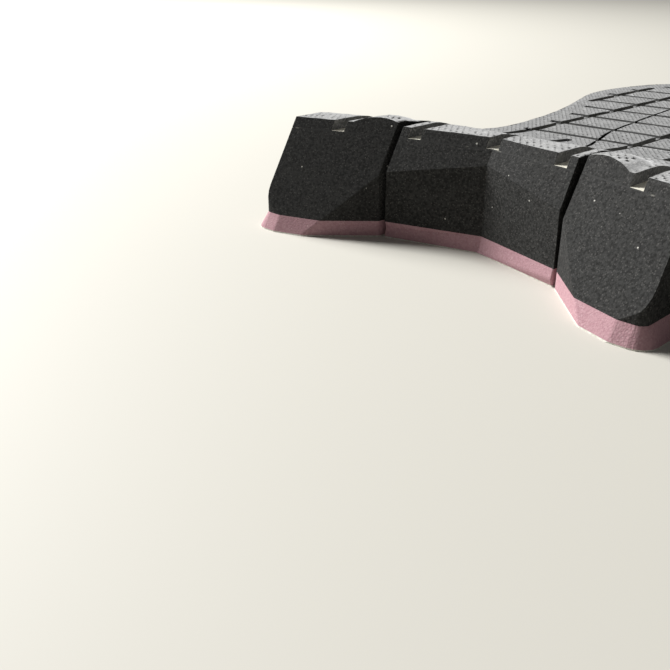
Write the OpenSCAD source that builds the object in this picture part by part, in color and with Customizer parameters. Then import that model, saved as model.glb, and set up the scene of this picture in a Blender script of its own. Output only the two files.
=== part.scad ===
// Three-piece foam traction pad with a raised rear kick, for the tail of a surfboard.
// Each of the three pieces is a stack: adhesive sheet, base sheet, kick wedge,
// bond film and grooved tread sheet. They lie side by side with a slit between them.
// X points to the right of the board, Y forward to its nose, Z up from the deck.
// The origin is on the deck, at the centre of the pad's footprint.

/* [Plan] */
// Half width of the centre piece at the rear, from the middle to the slit
centre_half_w = 28; // [24:0.5:30]
// Half width of the centre piece at its front edge
centre_front_half_w = 58; // [54:0.5:62]
// Where the slits start to turn outwards, measured from the rear crease
slit_turn_y = 80; // [70:1:90]
// How far the slits' rear ends lie behind the rear crease
crease_depth = 8.5; // [7:0.5:10]
// How far the side pieces' rear walls lie behind the rear crease
rear_wall_depth = 24.2; // [22:0.2:27]
// Half width over the two side pieces at the kick
kick_half_w = 59; // [57:0.5:62]
// Half width at the waist, in front of the kick
waist_half_w = 80; // [76:1:84]
// Half width at the front wings
wing_half_w = 105; // [100:1:110]
// Length from the rear crease to the front edge
front_len = 304; // [290:1:320]
// Corner radius at the rear of the side pieces
rear_corner_r = 2.2; // [1:0.1:4]
// Width of a slit at the deck
slit_foot_w = 1.2; // [0.6:0.1:1.6]
// Width of a slit at the top of the kick
slit_top_w = 2.2; // [1.6:0.1:3]

/* [Layers] */
// Thickness of the adhesive sheet
adhesive_t = 0.3; // [0.2:0.05:0.5]
// Thickness of the coloured base sheet
base_t = 4.2; // [3:0.1:5]
// Thickness of the bond film under the tread
film_t = 0.3; // [0.2:0.05:0.5]
// Thickness of the tread sheet
tread_t = 2.7; // [2.2:0.1:3.5]
// How far the foot of the base sheet stands out past its top, all round
base_flare = 2.4; // [1:0.1:3]

/* [Kick] */
// Height of the kick, from the deck to the top of the tread
kick_h = 30; // [28:0.5:32]
// Height of the kink where the rear face of the kick starts to lean forward
kink_h = 18.8; // [17:0.2:20]
// Where the level crest ends on the centre piece, measured from the rear crease
crest_end = 8; // [6:0.5:10]
// Slope of the ramp on the centre piece, in front of the crest
ramp_slope = 13.4; // [12.5:0.1:14]
// Where the ramp runs out on the base sheet
ramp_end = 138; // [130:1:145]
// Lean of the side pieces' rear facets, from upright
side_lean = 28.7; // [27:0.1:30]
// Turn of the side pieces' rear facets, towards the middle of the pad
side_turn = 19.2; // [18:0.1:20]
// Lean of the centre piece's upper rear facets, from upright
centre_lean = 27.8; // [26:0.1:29]
// Turn of the centre piece's upper rear facets, towards the middle of the pad
centre_turn = 11.8; // [11:0.1:12.5]
// Height of the swelling beside each slit, above the crest
swell_h = 1.7; // [0.5:0.1:2.5]
// Radius across the swelling
swell_r = 16; // [14:1:18]
// Distance of the swelling's ridge from the middle of the pad
swell_x = 34.5; // [33:0.5:36]

/* [Tread] */
// Width of every groove
groove_w = 3.8; // [3:0.1:4.5]
// Spacing of the grooves, along and across the pad
groove_pitch = 22.6; // [22:0.1:23]
// Depth of the cross grooves
cross_groove_depth = 1.2; // [1:0.1:2]
// First cross groove, measured from the rear crease
first_cross_y = 36; // [32:1:40]
// Plain border left at the front and along the flanks
border_w = 8; // [6:0.5:10]

/* [Hidden] */

base_top = adhesive_t + base_t;
wedge_top = kick_h - tread_t - film_t;
slit_y = -crease_depth + 1;              // rear end of the slits
crease_y = 1;                            // the crease, a little ahead of the base's foot
wall_y = -rear_wall_depth;
front_flare = 1.5;                       // the base's foot past the front edge
rear_edge = wall_y - base_flare;
front_edge = front_len + front_flare;
mid_y = (front_edge + rear_edge) / 2;
reach = 400;                             // longer than any part, for cutting blocks
curve_steps = 10;
arc_steps = 4;

// A point of a cubic curve with end points a, d and handles b, c
function bezier_point(a, b, c, d, t) =
    pow(1 - t, 3) * a + 3 * t * pow(1 - t, 2) * b + 3 * t * t * (1 - t) * c + pow(t, 3) * d;
// The curve's points from a up to, but without, d
function bezier(a, b, c, d) =
    [for (i = [0:curve_steps - 1]) bezier_point(a, b, c, d, i / curve_steps)];
function unit(v) = v / norm(v);
// The left-hand normal of a chain of points at its point i
function normal_at(p, i) =
    let (v = unit(p[min(i + 1, len(p) - 1)] - p[max(i - 1, 0)])) [-v[1], v[0]];
// A chain of points moved sideways by d
function moved(p, d) = [for (i = [0:len(p) - 1]) p[i] + d * normal_at(p, i)];
function backwards(p) = [for (i = [len(p) - 1:-1:0]) p[i]];

// --- plan outlines, for the right-hand piece ---

// Rear wall, corner, flank, wing and front corner, from the 45 degree wall forward.
// inset moves the flank and the front edge inwards.
function flank_chain(inset = 0) = let (
        k = kick_half_w - inset, w = waist_half_w - inset, g = wing_half_w - inset,
        r = rear_corner_r, f = front_len - inset)
    concat(
        [[centre_half_w + rear_wall_depth + slit_y, wall_y], [k - r, wall_y]],
        [for (i = [1:arc_steps - 1]) let (a = -90 + 90 * i / arc_steps)
            [k - r + r * cos(a), wall_y + r + r * sin(a)]],
        [[k, wall_y + r]],
        bezier([k, -8], [k, 22], [w + 1.5, 60], [w, 95]),
        bezier([w, 95], [w - 6, 175], [g, 217], [g, 245]),
        bezier([g, 245], [g, 262], [g - 5, f - 4], [g - 21, f - 3]),
        [[g - 21, f - 3], [centre_half_w, f]]);

// The first point of an outline is one from which all its other points are in plain sight
function side_outline(inset = 0) = concat(
    [[centre_half_w, front_len / 2], [centre_half_w, slit_y]], flank_chain(inset));

// The foot of the base sheet: the same chain, moved outwards along its outer edge
function side_foot() = let (c = flank_chain(), m = moved(c, -base_flare), n = len(c)) concat(
    [[centre_half_w, front_len / 2], [centre_half_w, slit_y],
        [c[0][0] + base_flare, rear_edge], [m[1][0], rear_edge]],
    [for (i = [2:n - 2]) [m[i][0], min(m[i][1], front_edge - 2)]],
    [[centre_half_w, front_edge]]);

// The centre piece with its rear edges carried on outwards, before it is cut to the slits.
// y0 is where the two rear edges meet.
function centre_blank(y0, y1) = let (
        x = 1.2 * centre_front_half_w, y = y0 + (slit_y - y0) * x / centre_half_w)
    [[0, y0], [x, y], [x, y1], [-x, y1], [-x, y]];
centre_outline = centre_blank(crease_y, front_len);
centre_foot = centre_blank(0, front_edge);

// The middle line of the right-hand slit, from behind the pad to past its front edge
slit_line = let (c = centre_half_w, e = centre_front_half_w) concat([[c, -60]],
    bezier([c, slit_turn_y], [c, slit_turn_y + 30], [e - 16, 128], [e - 13, 158]),
    bezier([e - 13, 158], [e - 11, 178], [e - 4, 225], [e, front_len]),
    [[e, front_len], [e + 1, front_edge + 20]]);

// --- the kick in side view, as Y and Z ---

// Heights at the upper and the lower end of the ramp's straight part
straight_z = wedge_top - 2.2;
straight_end = 90;
foot_z = straight_z - (straight_end - crest_end - 12) * tan(ramp_slope);
// Top of the wedge and of the base sheet in front of it, from the rear forward, with its
// crest and the upper end of its slope moved rearwards by back
function ramp_line(back = 0) = let (c = crest_end - back, s = c + 12) concat(
    [[-60, wedge_top]],
    bezier([c, wedge_top], [c + 5, wedge_top], [s - 4, straight_z + 0.95], [s, straight_z]),
    [[s, straight_z]],
    bezier([straight_end, foot_z], [straight_end + 13, foot_z - 3.1],
        [ramp_end - 20, base_top], [ramp_end, base_top]),
    [[ramp_end, base_top]]);
function lifted(p, d) = [for (q = p) q + [0, d]];
// The same line, carried on over the base sheet to the front and closed below the deck
function ramp_section(back, lift) = concat([[-60, -2]], lifted(ramp_line(back), lift),
    [[front_edge + 20, base_top + lift], [front_edge + 20, -2]]);
// The wedge's own section, which ends where the ramp runs out
function wedge_section(back) = concat([[-60, base_top]], ramp_line(back));

// --- helpers ---

// Puts the design, drawn from the rear crease, on the origin of the part
module placed() translate([0, -mid_y, 0]) children();

module left_hand() mirror([1, 0, 0]) children();

// A side view drawn in Y and Z, extruded across the whole pad
module across(points) translate([-reach / 2, 0, 0])
    rotate([90, 0, 90]) linear_extrude(reach) polygon(points);

// A solid between an outline at height z0 and another with as many points at height z1.
// From the first point of each, all its other points are in plain sight.
module lofted(foot, top, z0, z1) let (n = len(foot)) polyhedron(
    points = concat([for (p = foot) [p[0], p[1], z0]], [for (p = top) [p[0], p[1], z1]]),
    faces = concat([[for (i = [0:n - 1]) i]], [[for (i = [0:n - 1]) n + (n - i) % n]],
        [for (i = [0:n - 1]) [i, n + i, n + (i + 1) % n]],
        [for (i = [0:n - 1]) [i, n + (i + 1) % n, (i + 1) % n]]));

// A solid between a side view at the slit and one with as many points at x = far_x.
// From the first point of each, all its other points are in plain sight.
far_x = 112;
far_back = (far_x - centre_half_w) * tan(side_turn);
module between_sections(near, far) let (n = len(near)) polyhedron(
    points = concat([for (p = near) [centre_half_w - 1, p[0], p[1]]],
        [for (p = far) [far_x, p[0], p[1]]]),
    faces = concat([[for (i = [0:n - 1]) (n - i) % n]], [[for (i = [0:n - 1]) n + i]],
        [for (i = [0:n - 1]) [i, n + (i + 1) % n, n + i]],
        [for (i = [0:n - 1]) [i, (i + 1) % n, n + (i + 1) % n]]));
// Everything under the ramp, raised by lift, on the right-hand piece and on the centre piece
module under_side_ramp(lift) between_sections(ramp_section(0, lift),
    ramp_section(far_back, lift));
module under_centre_ramp(lift) across(ramp_section(0, lift));

// Everything behind a plane that goes through point, turned towards the middle
// of the pad and leaning forward
module behind_facet(point, turn, lean)
    translate(point) rotate([-lean, 0, -turn]) translate([-reach / 2, -reach, -reach / 2])
        cube([reach, reach, reach]);

// The rear facet of the right-hand piece
module behind_side_facet()
    behind_facet([centre_half_w + 0.4, slit_y + 0.1, kink_h], side_turn, side_lean);

// The two upper rear facets of the centre piece, which meet in the crease
module behind_centre_facets() for (side = [0, 1]) mirror([side, 0, 0]) intersection() {
    behind_facet([centre_half_w + 0.4, slit_y + 0.1, kink_h], centre_turn, centre_lean);
    translate([0, -reach / 2, 0]) cube([reach, reach, reach]);
}

// The straight part of the slit beside the centre piece, wider at the top than at the deck
module slit() translate([centre_half_w, slit_turn_y, 0]) rotate([90, 0, 0])
    linear_extrude(reach) polygon([[-slit_foot_w / 2, -1], [slit_foot_w / 2, -1],
        [slit_top_w / 2, kick_h + 3], [-slit_top_w / 2, kick_h + 3]]);

// Everything between the two slits, with grow added on both sides
module between_slits(grow) let (edge = moved(slit_line, -grow)) translate([0, 0, -1])
    linear_extrude(2 * kick_h) polygon(concat(edge, [for (p = backwards(edge)) [-p[0], p[1]]]));

// Cuts a layer of a side piece to its slit, which opens upwards only in the kick's layers
module side_piece(kick = true) difference() {
    children();
    between_slits(slit_foot_w / 2);
    if (kick) slit();
}

// Cuts a layer of the centre piece to both slits
module centre_piece(kick = true) difference() {
    intersection() {
        children();
        between_slits(-slit_foot_w / 2);
    }
    if (kick) {
        slit();
        left_hand() slit();
    }
}

// A groove along the pad, with a round front end, and a round rear end unless it is open
module long_groove(x, from_y, to_y) translate([x - groove_w / 2, from_y, 0]) {
    cube([groove_w, to_y - from_y, 2 * kick_h]);
    for (y = [0, to_y - from_y]) translate([groove_w / 2, y, 0])
        cylinder(d = groove_w, h = 2 * kick_h, $fn = 32);
}

// Upright slabs as wide as the cross grooves
module cross_slabs() for (y = [first_cross_y:groove_pitch:front_len - border_w - groove_w])
    translate([-reach / 2, y - groove_w / 2, 0]) cube([reach, groove_w, 2 * kick_h]);

// The rounded swelling in the tread beside the slit, which dies out on the crest
module swelling() {
    centre_z = kick_h + swell_h - swell_r;
    front_y = crest_end - 6;
    translate([swell_x, front_y, centre_z]) sphere(swell_r, $fn = 64);
    translate([swell_x, front_y, centre_z]) rotate([90, 0, 0])
        cylinder(r = swell_r, h = 60, $fn = 64);
}

// --- the layers of a side piece ---

module side_adhesive() color("#e4e2d8") side_piece(kick = false) difference() {
    linear_extrude(adhesive_t) polygon(side_foot());
    behind_side_facet();
}

module side_base() color("#b98c94") side_piece(kick = false) difference() {
    lofted(side_foot(), side_outline(), adhesive_t, base_top);
    behind_side_facet();
}

module side_wedge() color("#3b3b3a") side_piece() difference() {
    intersection() {
        linear_extrude(2 * kick_h) polygon(side_outline());
        between_sections(wedge_section(0), wedge_section(far_back));
    }
    behind_side_facet();
}

module side_film() color("#e9e4d0") side_piece() difference() {
    intersection() {
        linear_extrude(2 * kick_h) polygon(side_outline());
        under_side_ramp(film_t);
    }
    under_side_ramp(0);
    behind_side_facet();
}

module side_tread() color("#4b4b4a") side_piece() difference() {
    intersection() {
        linear_extrude(2 * kick_h) polygon(side_outline());
        union() {
            under_side_ramp(film_t + tread_t);
            swelling();
        }
    }
    under_side_ramp(film_t);
    behind_side_facet();
    long_groove(2 * groove_pitch, -60, 116);
    long_groove(3 * groove_pitch, 64, front_len - border_w - 6);
    long_groove(4 * groove_pitch, 212, front_len - 30);
    difference() {
        intersection() {
            cross_slabs();
            linear_extrude(2 * kick_h) polygon(side_outline(border_w));
        }
        under_side_ramp(film_t + tread_t - cross_groove_depth);
    }
}

// --- the layers of the centre piece ---

module centre_adhesive() color("#e4e2d8") centre_piece(kick = false)
    linear_extrude(adhesive_t) polygon(centre_foot);

module centre_base() color("#b98c94") centre_piece(kick = false)
    lofted(centre_foot, centre_outline, adhesive_t, base_top);

module centre_wedge() color("#3b3b3a") centre_piece() difference() {
    intersection() {
        linear_extrude(2 * kick_h) polygon(centre_outline);
        across(wedge_section(0));
    }
    behind_centre_facets();
}

module centre_film() color("#e9e4d0") centre_piece() difference() {
    intersection() {
        linear_extrude(2 * kick_h) polygon(centre_outline);
        under_centre_ramp(film_t);
    }
    under_centre_ramp(0);
    behind_centre_facets();
}

module centre_tread() color("#4b4b4a") centre_piece() difference() {
    intersection() {
        linear_extrude(2 * kick_h) polygon(centre_outline);
        under_centre_ramp(film_t + tread_t);
    }
    under_centre_ramp(film_t);
    behind_centre_facets();
    for (x = [-groove_pitch, 0, groove_pitch]) long_groove(x, -60, front_len - border_w - 2);
    for (x = [-2, 2] * groove_pitch) long_groove(x, 228, front_len - border_w - 2);
    difference() {
        intersection() {
            cross_slabs();
            translate([-reach / 2, 0, 0]) cube([reach, front_len - border_w, 2 * kick_h]);
        }
        under_centre_ramp(film_t + tread_t - cross_groove_depth);
    }
}

// --- the nodes ---

module left_adhesive_sheet() placed() left_hand() side_adhesive();
module centre_adhesive_sheet() placed() centre_adhesive();
module right_adhesive_sheet() placed() side_adhesive();
module left_base_sheet() placed() left_hand() side_base();
module centre_base_sheet() placed() centre_base();
module right_base_sheet() placed() side_base();
module left_kick_wedge() placed() left_hand() side_wedge();
module centre_kick_wedge() placed() centre_wedge();
module right_kick_wedge() placed() side_wedge();
module left_bond_film() placed() left_hand() side_film();
module centre_bond_film() placed() centre_film();
module right_bond_film() placed() side_film();
module left_tread_sheet() placed() left_hand() side_tread();
module centre_tread_sheet() placed() centre_tread();
module right_tread_sheet() placed() side_tread();

left_adhesive_sheet();
centre_adhesive_sheet();
right_adhesive_sheet();
left_base_sheet();
centre_base_sheet();
right_base_sheet();
left_kick_wedge();
centre_kick_wedge();
right_kick_wedge();
left_bond_film();
centre_bond_film();
right_bond_film();
left_tread_sheet();
centre_tread_sheet();
right_tread_sheet();
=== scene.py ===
# %% [markdown]
# # A three-piece foam traction pad with a raised kick
#
# This pad is glued to the tail of a surfboard so that the rider's back foot doesn't slip.
# It has a left, a centre and a right piece. Each one is a stack: an adhesive sheet, a coloured
# base sheet, a charcoal wedge that makes the kick, a thin bond film, and a grooved tread sheet.
# The CAD model already has every layer at its real size. This lesson gives the layers soft
# edges, the tread its embossed pits, and every layer the finish of its real material.

# %% Load the frame
import math
import random

import bmesh
import bpy
from mathutils import Matrix, Vector, noise
from mathutils.bvhtree import BVHTree


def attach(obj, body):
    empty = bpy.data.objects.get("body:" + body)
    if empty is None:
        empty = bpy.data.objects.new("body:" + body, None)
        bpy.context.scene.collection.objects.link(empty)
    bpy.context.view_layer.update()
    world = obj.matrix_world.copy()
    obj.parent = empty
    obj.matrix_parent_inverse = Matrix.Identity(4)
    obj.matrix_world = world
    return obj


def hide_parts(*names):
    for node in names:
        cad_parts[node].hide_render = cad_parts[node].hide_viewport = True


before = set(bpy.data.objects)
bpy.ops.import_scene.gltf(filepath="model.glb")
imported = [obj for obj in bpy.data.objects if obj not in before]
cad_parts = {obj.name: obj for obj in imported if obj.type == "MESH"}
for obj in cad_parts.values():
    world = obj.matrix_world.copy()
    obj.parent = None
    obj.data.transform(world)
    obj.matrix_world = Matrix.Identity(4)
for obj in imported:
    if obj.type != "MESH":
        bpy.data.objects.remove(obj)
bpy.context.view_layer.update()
print("CAD nodes:", len(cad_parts))

MM = 0.001
SIDES = ("left", "centre", "right")

# %% [markdown]
# ## The camera
#
# A camera can be placed by hand until the view looks right, or worked out from points whose
# real places are known. The second way is exact, so its result is written here: a low view from
# behind the right-hand corner, a little above the height of the kick.

# %% Camera
camera_data = bpy.data.cameras.new("low_rear_view")
camera_data.lens = 44.43
camera_data.sensor_width = 36.0
camera_data.clip_start = 0.01
camera = bpy.data.objects.new("low_rear_view", camera_data)
camera.location = (0.12423, -0.31259, 0.07140)
camera.rotation_euler = (math.radians(65.572), 0.0, math.radians(45.958))
bpy.context.scene.collection.objects.link(camera)
bpy.context.scene.camera = camera
print("camera at", [round(v * 1000) for v in camera.location], "mm")

# %% [markdown]
# ## Copies of the layers
#
# A CAD mesh is a heap of loose triangles, and it is never changed itself. A copy of it is made,
# its double points are merged, and triangles that lie in one plane are joined. What is left is
# a clean solid whose edges are the real edges of the foam, ready for the bevel operator. The
# wide cuts of a straight blade are shaded flat, and the curved flanks and rounded edges smooth.

# %% Copy a layer
FLAT_ANGLE = math.radians(0.4)
LEVEL = 0.85
REARWARDS = -0.3
FLAT_AREA = 3.0 * MM * MM


def layer_copy(node):
    """A merged bmesh copy of a CAD node."""
    bm = bmesh.new()
    bm.from_mesh(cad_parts[node].data)
    bmesh.ops.remove_doubles(bm, verts=bm.verts, dist=0.002 * MM)
    bmesh.ops.dissolve_limit(bm, angle_limit=FLAT_ANGLE, verts=bm.verts, edges=bm.edges)
    bm.normal_update()
    return bm


def finished_piece(bm, name, node, crease_deg=35.0):
    """Turns a bmesh into a piece that stands for a CAD node. Wide straight cuts stay flat."""
    mesh = bpy.data.meshes.new(name)
    bm.to_mesh(mesh)
    bm.free()
    mesh.set_sharp_from_angle(angle=math.radians(crease_deg))
    for face in mesh.polygons:
        straight_cut = face.normal.y < REARWARDS or abs(face.normal.z) > LEVEL
        face.use_smooth = not (straight_cut and face.area > FLAT_AREA)
    piece = bpy.data.objects.new(name, mesh)
    bpy.context.scene.collection.objects.link(piece)
    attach(piece, "root")
    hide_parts(node)
    print(name, "faces", len(mesh.polygons))
    return piece


# %% [markdown]
# ## Soft edges
#
# A knife or a hot wire leaves a foam edge that is never quite sharp: it rounds over by a few
# tenths of a millimetre. The bevel operator does that. Only edges that stand out are rounded,
# and not those where two layers are glued together, or a gap would open between the layers.

# %% Round the free edges
CUT_EDGE_MM = 0.5
TREAD_EDGE_MM = 0.7


def is_level(face):
    return abs(face.normal.z) > LEVEL


def free_edges(bm, glued, min_deg=12.0):
    """Convex edges sharper than min_deg, apart from the ones on a glued face."""
    found = []
    for edge in bm.edges:
        if len(edge.link_faces) != 2 or not edge.is_convex:
            continue
        if edge.calc_face_angle() < math.radians(min_deg):
            continue
        if any(glued(face) for face in edge.link_faces):
            continue
        found.append(edge)
    return found


def round_edges(bm, edges, width_mm, segments=2):
    bmesh.ops.bevel(bm, geom=edges, offset=width_mm * MM, offset_type="OFFSET",
                    segments=segments, profile=0.5, affect="EDGES", clamp_overlap=True,
                    material=-1)
    bm.normal_update()


# %% [markdown]
# ## The base sheets
#
# The base is one sheet of pink EVA foam, cut out with its edge sloping outwards to the deck.
# Its top and underside are glued, so only the corners between its sloping walls are rounded.

# %% Base sheets
base_sheets = {}
for side in SIDES:
    node = f"{side}_base_sheet"
    bm = layer_copy(node)
    round_edges(bm, free_edges(bm, is_level), CUT_EDGE_MM)
    base_sheets[side] = finished_piece(bm, f"{side}_base_foam", node)

# %% [markdown]
# ## The kick wedges
#
# The kick is a block of charcoal EVA, cut with flat facets that a foot can feel and push on.
# The facets meet in soft ridges, which catch a thin line of light, so they get the same bevel.

# %% Kick wedges
kick_wedges = {}
for side in SIDES:
    node = f"{side}_kick_wedge"
    bm = layer_copy(node)
    round_edges(bm, free_edges(bm, is_level), CUT_EDGE_MM)
    kick_wedges[side] = finished_piece(bm, f"{side}_kick_foam", node)

# %% [markdown]
# ## The bond films
#
# The film between wedge and tread is 0.3 mm thick. It shows cream at the bottom of the grooves,
# where it faces up. On the cut faces its edge was smeared with charcoal foam by the blade. So
# the level faces get the first material and the cut edges get the second one.

# %% Bond films
FACE, EDGE = 0, 1
bond_films = {}
for side in SIDES:
    node = f"{side}_bond_film"
    bm = layer_copy(node)
    round_edges(bm, free_edges(bm, is_level), CUT_EDGE_MM)
    for face in bm.faces:
        face.material_index = FACE if is_level(face) else EDGE
    bond_films[side] = finished_piece(bm, f"{side}_bond_layer", node)

# %% [markdown]
# ## The tread sheets
#
# The tread is pressed with a hot plate that leaves staggered pits, about 1 mm wide, between
# small raised lands. A texture could fake them, but the light that grazes the top shows their
# depth, so they are real. The top is cut into cells by a row of planes in each direction, and
# every second cell is inset and pushed down, like the squares of a draughts board. The same
# plate presses the grooves, so they get the skin of the top and not the look of a cut.

# %% Find the top of a tread
CELL_X, CELL_Y = 1.0 * MM, 1.5 * MM
TREAD_T = 2.7 * MM
FULL_DEPTH = 0.8 * TREAD_T
GROOVE_REACH = 5 * MM
OFF_FACE = 0.05 * MM
TOP, CUT, GROOVE = 0, 1, 2


def inner_spots(bm):
    """A point inside each face: the middle of its largest triangle."""
    best = {}
    for loops in bm.calc_loop_triangles():
        a, b, c = (loop.vert.co for loop in loops)
        area = (b - a).cross(c - a).length
        if area > best.get(loops[0].face, (-1.0, None))[0]:
            best[loops[0].face] = (area, (a + b + c) / 3)
    return {face: spot for face, (area, spot) in best.items()}


def mark_top(bm):
    """The top has the sheet's full depth under it, unlike the floor of a groove. The wall of a
    groove has another wall close in front of it."""
    tree = BVHTree.FromBMesh(bm)
    down = Vector((0, 0, -1))
    for face, spot in inner_spots(bm).items():
        way = face.normal.copy()
        wall_ahead = tree.ray_cast(spot + way * OFF_FACE, way, GROOVE_REACH)[0] is not None
        depth = tree.ray_cast(spot + down * OFF_FACE, down)[3] or 0.0
        if way.z > LEVEL and depth > FULL_DEPTH:
            face.material_index = TOP
        elif way.z > LEVEL or wall_ahead:
            face.material_index = GROOVE
        else:
            face.material_index = CUT


def top_parts(bm, keep):
    """The top faces that pass the test keep, with their edges and points. They always come in
    the same order, which a set of them would not give."""
    faces = [f for f in bm.faces if f.material_index == TOP and keep(f)]
    edges = dict.fromkeys(e for f in faces for e in f.edges)
    verts = dict.fromkeys(v for f in faces for v in f.verts)
    return faces + list(edges) + list(verts)


# %% Cut the top into cells
TOUCH = 1e-7
CELL_PART = 0.01


def cut_cells(bm):
    """Cuts the top along every line of the grid that crosses it."""
    lows = [min(v.co[axis] for v in bm.verts) for axis in (0, 1)]
    highs = [max(v.co[axis] for v in bm.verts) for axis in (0, 1)]
    for axis, cell in ((0, CELL_X), (1, CELL_Y)):
        normal = Vector((0, 0, 0))
        normal[axis] = 1
        for step in range(math.ceil(lows[axis] / cell), math.floor(highs[axis] / cell) + 1):
            line = step * cell

            def crossed(face):
                spots = [v.co[axis] for v in face.verts]
                return min(spots) < line - TOUCH and max(spots) > line + TOUCH

            geom = top_parts(bm, crossed)
            if geom:
                bmesh.ops.bisect_plane(bm, geom=geom, dist=TOUCH, plane_co=normal * line,
                                       plane_no=normal)


def on_line(edge):
    """Whether an edge lies on one of the cutting planes."""
    for axis, cell in ((0, CELL_X), (1, CELL_Y)):
        steps = [v.co[axis] / cell for v in edge.verts]
        on_grid = all(abs(step - round(step)) < CELL_PART for step in steps)
        if on_grid and abs(steps[0] - steps[1]) < CELL_PART:
            return True
    return False


def join_cells(bm):
    """Dissolves the old facet lines that still cross the cells."""
    spare = [e for e in bm.edges if len(e.link_faces) == 2 and not on_line(e)
             and all(f.material_index == TOP for f in e.link_faces)]
    bmesh.ops.dissolve_edges(bm, edges=spare, use_verts=True)
    bm.normal_update()


# %% Press the pits
PIT_WALL, PIT_DEPTH = 0.16 * MM, 0.32 * MM
SHALLOWER_MM = 0.18
PIT_MISSING = 0.18
PIT_LEVEL = 0.965
CELL_CORNERS = 6
WHOLE_CELL = 0.93 * CELL_X * CELL_Y
GROOVE_WEAR_AND_SHADE = 0.6


def press_pits(bm, seed):
    """Insets every second whole cell, and stores for each point how pale it is painted: full on
    the top, less in the grooves, and less in deeper pits. That stands partly for wear, and
    partly for painted shade in the hollows and a painted highlight on the lands. The chances are
    drawn cell by cell across the grid, so that every run gives the same pits."""
    chance = random.Random(seed)
    wear_and_light = bm.verts.layers.float.new("wear_and_light")
    # Tops are painted palest and grooves darker: partly wear, partly painted shade in the
    # grooves and a painted highlight on the tops.
    for face in bm.faces:
        for vert in face.verts:
            vert[wear_and_light] = max(vert[wear_and_light], 1.0 if face.material_index == TOP else GROOVE_WEAR_AND_SHADE)
    cells = {}
    for face in bm.faces:
        if face.material_index != TOP or len(face.verts) > CELL_CORNERS:
            continue
        plan = face.calc_area() * face.normal.z
        middle = face.calc_center_median()
        column, row = math.floor(middle.x / CELL_X), math.floor(middle.y / CELL_Y)
        whole = plan > WHOLE_CELL and face.normal.z > PIT_LEVEL
        if whole and (column + row) % 2 == 0:
            cells[column, row] = face
    pits = [cells[cell] for cell in sorted(cells) if chance.random() > PIT_MISSING]
    bmesh.ops.inset_individual(bm, faces=pits, thickness=PIT_WALL, depth=-PIT_DEPTH,
                               use_even_offset=True)
    # A deeper pit gets a lower value, so it is painted darker: partly less wear, partly painted
    # shade in the pit.
    for face in pits:
        rise = chance.uniform(0.0, SHALLOWER_MM) * MM
        for vert in face.verts:
            vert.co.z += rise
            vert[wear_and_light] = 2.0 * rise / PIT_DEPTH
    return len(pits)


def work_unevenly(bm, waves):
    """Foam is never pressed quite evenly: the top moves up and down a little, in waves of a
    given height and size in mm."""
    top_verts = {v for f in bm.faces if f.material_index == TOP for v in f.verts}
    for vert in top_verts:
        place = vert.co.copy()
        for height_mm, size_mm in waves:
            vert.co.z += height_mm * MM * noise.noise(place / (size_mm * MM))


def skin_grooves(bm):
    """Gives the grooves the same skin as the top."""
    for face in bm.faces:
        if face.material_index == GROOVE:
            face.material_index = TOP


# %% Make the tread sheets
tread_sheets = {}
for side in SIDES:
    node = f"{side}_tread_sheet"
    bm = layer_copy(node)
    mark_top(bm)
    rims = free_edges(bm, lambda face: face.normal.z < -LEVEL, min_deg=25.0)
    round_edges(bm, rims, TREAD_EDGE_MM, segments=3)
    cut_cells(bm)
    join_cells(bm)
    count = press_pits(bm, side)
    work_unevenly(bm, ((0.13, 1.9), (0.22, 12.0)))
    skin_grooves(bm)
    tread_sheets[side] = finished_piece(bm, f"{side}_tread_foam", node,
                                        crease_deg=60.0)
    print(side, "tread has", count, "pits")

# %% [markdown]
# ## Node helpers
#
# A colour in a paint list is an sRGB value, but a shader counts in linear light, so one function
# turns the hex value into linear. One more function adds a node with its settings and its links.

# %% Colour and node helpers


def linear(code):
    """An sRGB hex colour as linear RGBA."""
    parts = [int(code[i:i + 2], 16) / 255 for i in (1, 3, 5)]
    return [c / 12.92 if c <= 0.04045 else ((c + 0.055) / 1.055) ** 2.4 for c in parts] + [1.0]


def add_node(tree, kind, settings=None, feeds=None):
    """Adds a node. A setting is a property of the node or the value of an input."""
    node = tree.nodes.new(kind)
    for key, value in (settings or {}).items():
        if isinstance(key, str) and hasattr(node, key):
            setattr(node, key, value)
        else:
            node.inputs[key].default_value = value
    for key, socket in (feeds or {}).items():
        tree.links.new(socket, node.inputs[key])
    return node


def new_material(name):
    """An empty material, its node tree, and the socket of its Object coordinates."""
    material = bpy.data.materials.new(name)
    material.use_nodes = True
    tree = material.node_tree
    tree.nodes.clear()
    coords = add_node(tree, "ShaderNodeTexCoord").outputs["Object"]
    return material, tree, coords


def blend_colours(tree, factor, low, high):
    """A mix of two colours, each a hex code or a socket."""
    settings = {"data_type": "RGBA"}
    feeds = {0: factor}
    for index, colour in ((6, low), (7, high)):
        if isinstance(colour, str):
            settings[index] = linear(colour)
        else:
            feeds[index] = colour
    return add_node(tree, "ShaderNodeMix", settings, feeds).outputs[2]


def remap(tree, value, low, high, out_low=0.0, out_high=1.0):
    """A value stretched so that low and high become out_low and out_high, and held there."""
    return add_node(tree, "ShaderNodeMapRange", {
        "interpolation_type": "SMOOTHSTEP", "From Min": low, "From Max": high,
        "To Min": out_low, "To Max": out_high}, {"Value": value}).outputs["Result"]


def multiply(tree, first, second):
    feeds = {0: first, 1: second}
    return add_node(tree, "ShaderNodeMath", {"operation": "MULTIPLY"}, feeds).outputs[0]


# %% [markdown]
# ## Cut EVA foam
#
# EVA is a closed-cell foam. A blade opens the cells at the surface, which leaves a dull face
# with a fine grain of pale flecks. The cells are 0.1 to 0.3 mm wide, too fine to show, so the
# flecks are drawn 0.45 mm apart. Broader patches come from the uneven pull of the blade. EVA
# and the acrylic of the adhesive bend light about equally, so they share one IOR.

# %% Cut EVA foam
PLASTIC_IOR = 1.48


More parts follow.
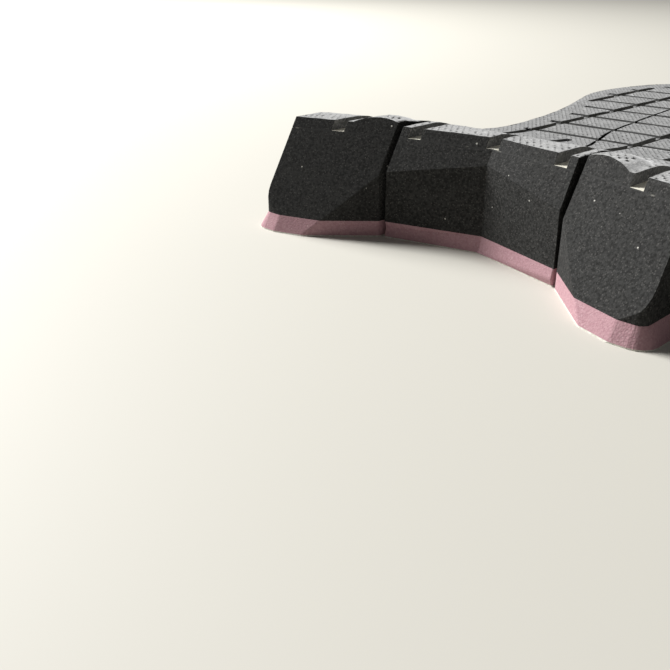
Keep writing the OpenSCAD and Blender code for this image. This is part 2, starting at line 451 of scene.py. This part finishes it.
def cut_foam(name, body, patch, fleck, fleck_share, nick, rough):
    """Cut EVA foam: a dull face with patches, pale flecks and a few nicks."""
    material, tree, coords = new_material(name)
    cells = add_node(tree, "ShaderNodeTexVoronoi", {"Scale": 1 / 0.00045}, {"Vector": coords})
    chance = add_node(tree, "ShaderNodeSeparateColor", feeds={"Color": cells.outputs["Color"]})
    chosen = remap(tree, chance.outputs[0], 1 - fleck_share, 1.0)
    spot = remap(tree, cells.outputs["Distance"], 0.2, 0.6, 1.0, 0.0)
    flecks = multiply(tree, chosen, spot)
    broad = add_node(tree, "ShaderNodeTexNoise", {"Scale": 1 / 0.009, "Detail": 5.0},
                     {"Vector": coords})
    grain = add_node(tree, "ShaderNodeTexNoise", {"Scale": 1 / 0.0007, "Detail": 3.0},
                     {"Vector": coords})
    scars = add_node(tree, "ShaderNodeTexVoronoi", {"Scale": 1 / 0.0055}, {"Vector": coords})
    ragged = add_node(tree, "ShaderNodeMath", {"operation": "MULTIPLY_ADD", 1: 0.06},
                      {0: grain.outputs[0], 2: scars.outputs["Distance"]})
    nicks = remap(tree, ragged.outputs[0], 0.065, 0.08, 1.0, 0.0)
    mottle = add_node(tree, "ShaderNodeMath", {"operation": "MULTIPLY_ADD", 1: 0.4},
                      {0: broad.outputs[0], 2: grain.outputs[0]})
    colour = blend_colours(tree, remap(tree, mottle.outputs[0], 0.55, 0.82), body, patch)
    colour = blend_colours(tree, flecks, colour, fleck)
    colour = blend_colours(tree, nicks, colour, nick)
    height = add_node(tree, "ShaderNodeMath", {"operation": "MULTIPLY_ADD", 1: 0.5},
                      {0: grain.outputs[0], 2: cells.outputs["Distance"]})
    bump = add_node(tree, "ShaderNodeBump", {"Strength": 0.5, "Distance": 0.00012},
                    {"Height": height.outputs[0]})
    shader = add_node(tree, "ShaderNodeBsdfPrincipled", {
        "IOR": PLASTIC_IOR, "Specular IOR Level": 0.15},
        {"Base Color": colour, "Roughness": remap(tree, broad.outputs[0], 0.3, 0.7, rough, 0.95),
         "Normal": bump.outputs[0]})
    add_node(tree, "ShaderNodeOutputMaterial", feeds={"Surface": shader.outputs[0]})
    return material


charcoal_cut_eva = cut_foam("charcoal_cut_eva", "#222221", "#363635", "#4f4e4c", 0.5,
                            "#bab8b1", 0.8)
pink_cut_eva = cut_foam("pink_cut_eva", "#a88289", "#b28d93", "#bb9a9f", 0.5,
                        "#c4a4a8", 0.75)
print("made", charcoal_cut_eva.name, "and", pink_cut_eva.name)

# %% [markdown]
# ## Embossed EVA tread
#
# The hot plate gives the tread a tougher skin. Feet and wax rub the raised lands pale, and the
# pits stay dark. The pale lands also stand for a painted highlight of the grazing light, and the
# dark pits and grooves stand for painted shade. The points of the mesh carry that as an
# attribute, so the pale and dark tones follow the real pits. The crest is painted paler than the
# ramp: a painted highlight on the crest, and painted shade on the ramp, whose slope turns from
# the lamp.
# The tone changes between two places along Y. A little sheen stands for the fuzz of worn foam.

# %% Embossed EVA tread
CREST_FRONT, RAMP_START = -132 * MM, -115 * MM
embossed_eva, tree, coords = new_material("embossed_eva_tread")
wear_and_light = add_node(tree, "ShaderNodeAttribute", {"attribute_name": "wear_and_light"}).outputs["Fac"]
rubbed = add_node(tree, "ShaderNodeTexNoise", {"Scale": 1 / 0.009, "Detail": 6.0},
                  {"Vector": coords})
fuzz = add_node(tree, "ShaderNodeTexNoise", {"Scale": 1 / 0.0006, "Detail": 3.0},
                {"Vector": coords})


def rubbed_skin(dark, pale, torn, torn_from):
    """The tone of raised foam: rubbed patches with the pale ends of torn cells."""
    skin = blend_colours(tree, remap(tree, rubbed.outputs[0], 0.3, 0.7), dark, pale)
    ends = remap(tree, fuzz.outputs[0], torn_from, torn_from + 0.25)
    return blend_colours(tree, ends, skin, torn)


# The crest is painted paler than the ramp: a painted highlight on the crest, and painted shade
# on the ramp, whose slope turns from the lamp.
ramp_skin_with_painted_shade = rubbed_skin("#444443", "#676765", "#858481", 0.5)
crest_skin_with_painted_light = rubbed_skin("#666665", "#8e8e8c", "#b9b8b5", 0.45)
along = add_node(tree, "ShaderNodeSeparateXYZ", feeds={"Vector": coords}).outputs["Y"]
lands = blend_colours(tree, remap(tree, along, CREST_FRONT, RAMP_START), crest_skin_with_painted_light, ramp_skin_with_painted_shade)
# Low values give the dark pits and grooves, partly painted shade; high values give the pale
# lands, partly a painted highlight of the grazing light.
tread_colour = blend_colours(tree, remap(tree, wear_and_light, 0.1, 1.0), "#232322", lands)
tread_bump = add_node(tree, "ShaderNodeBump", {"Strength": 0.5, "Distance": 0.00015},
                      {"Height": fuzz.outputs[0]})
tread_shader = add_node(tree, "ShaderNodeBsdfPrincipled", {
    "Roughness": 0.7, "IOR": PLASTIC_IOR, "Specular IOR Level": 0.2, "Sheen Weight": 0.5,
    "Sheen Roughness": 0.5}, {"Base Color": tread_colour, "Normal": tread_bump.outputs[0]})
add_node(tree, "ShaderNodeOutputMaterial", feeds={"Surface": tread_shader.outputs[0]})
print("made", embossed_eva.name)

# %% [markdown]
# ## Bond film and adhesive
#
# The film is a thin cream sheet of EVA, glued down hot, so it is smoother than the foam and has
# some foam dust on it. The adhesive is a clear acrylic transfer tape: glossy, slightly milky,
# and full of tiny bubbles once its liner is off.

# %% Bond film and adhesive


def thin_sheet(name, body, stain, stain_mm, low, high, rough, specular):
    """A smooth sheet with stains of another tone."""
    material, tree, coords = new_material(name)
    dust = add_node(tree, "ShaderNodeTexNoise", {"Scale": 1000 / stain_mm, "Detail": 4.0},
                    {"Vector": coords})
    colour = blend_colours(tree, remap(tree, dust.outputs[0], low, high), body, stain)
    bump = add_node(tree, "ShaderNodeBump", {"Strength": 0.3, "Distance": 0.00008},
                    {"Height": dust.outputs[0]})
    shader = add_node(tree, "ShaderNodeBsdfPrincipled", {
        "Roughness": rough, "IOR": PLASTIC_IOR, "Specular IOR Level": specular},
        {"Base Color": colour, "Normal": bump.outputs[0]})
    add_node(tree, "ShaderNodeOutputMaterial", feeds={"Surface": shader.outputs[0]})
    return material


cream_film = thin_sheet("cream_eva_film", "#e9e5d6", "#b9b3a0", 1.2, 0.5, 0.75, 0.5, 0.4)
smeared_edge = thin_sheet("smeared_film_edge", "#333332", "#6f6d67", 3.0, 0.6, 0.72, 0.8, 0.15)
milky_adhesive = thin_sheet("milky_acrylic_adhesive", "#dcdad0", "#c2bfb2", 0.8, 0.4, 0.7,
                            0.25, 0.5)

# %% Give every layer its finish
for side in SIDES:
    base_sheets[side].data.materials.append(pink_cut_eva)
    kick_wedges[side].data.materials.append(charcoal_cut_eva)
    bond_films[side].data.materials.append(cream_film)
    bond_films[side].data.materials.append(smeared_edge)
    tread_sheets[side].data.materials.append(embossed_eva)
    tread_sheets[side].data.materials.append(charcoal_cut_eva)
    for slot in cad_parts[f"{side}_adhesive_sheet"].material_slots:
        slot.material = milky_adhesive
print("finished", 5 * len(SIDES), "layers")

# %% [markdown]
# ## Floor and light
#
# The floor is plain and pale. One large soft lamp stands on the left, a little behind, and a
# weak even sky fills the shadows, so the facets that turn right stay almost black.

# %% Floor
FLOOR_SIZE = 8.0
bm = bmesh.new()
bmesh.ops.create_grid(bm, x_segments=1, y_segments=1, size=FLOOR_SIZE / 2)
floor_mesh = bpy.data.meshes.new("studio_floor")
bm.to_mesh(floor_mesh)
bm.free()
floor = bpy.data.objects.new("studio_floor", floor_mesh)
bpy.context.scene.collection.objects.link(floor)
painted_floor, tree, coords = new_material("matt_painted_floor")
floor_tone = add_node(tree, "ShaderNodeTexNoise", {"Scale": 2.0}, {"Vector": coords})
floor_colour = blend_colours(tree, floor_tone.outputs[0], "#cac7bd", "#cdcac0")
floor_shader = add_node(tree, "ShaderNodeBsdfPrincipled", {"Roughness": 0.7},
                        {"Base Color": floor_colour})
add_node(tree, "ShaderNodeOutputMaterial", feeds={"Surface": floor_shader.outputs[0]})
floor_mesh.materials.append(painted_floor)

# %% Light
KEY_WAY = Vector((-0.82, -0.15, 0.55)).normalized()
KEY_DISTANCE = 1.8
key_data = bpy.data.lights.new("soft_key", "AREA")
key_data.shape = "DISK"
key_data.size = 0.9
key_data.energy = 76.0
key = bpy.data.objects.new("soft_key", key_data)
key.matrix_world = (Matrix.Translation(KEY_WAY * KEY_DISTANCE)
                    @ KEY_WAY.to_track_quat("Z", "Y").to_matrix().to_4x4())
bpy.context.scene.collection.objects.link(key)
world = bpy.data.worlds.new("pale_studio")
world.use_nodes = True
world.node_tree.nodes["Background"].inputs["Color"].default_value = linear("#ffffff")
world.node_tree.nodes["Background"].inputs["Strength"].default_value = 0.1
bpy.context.scene.world = world
bpy.context.scene.view_settings.view_transform = "Standard"
print("key light", round(key_data.energy), "W")
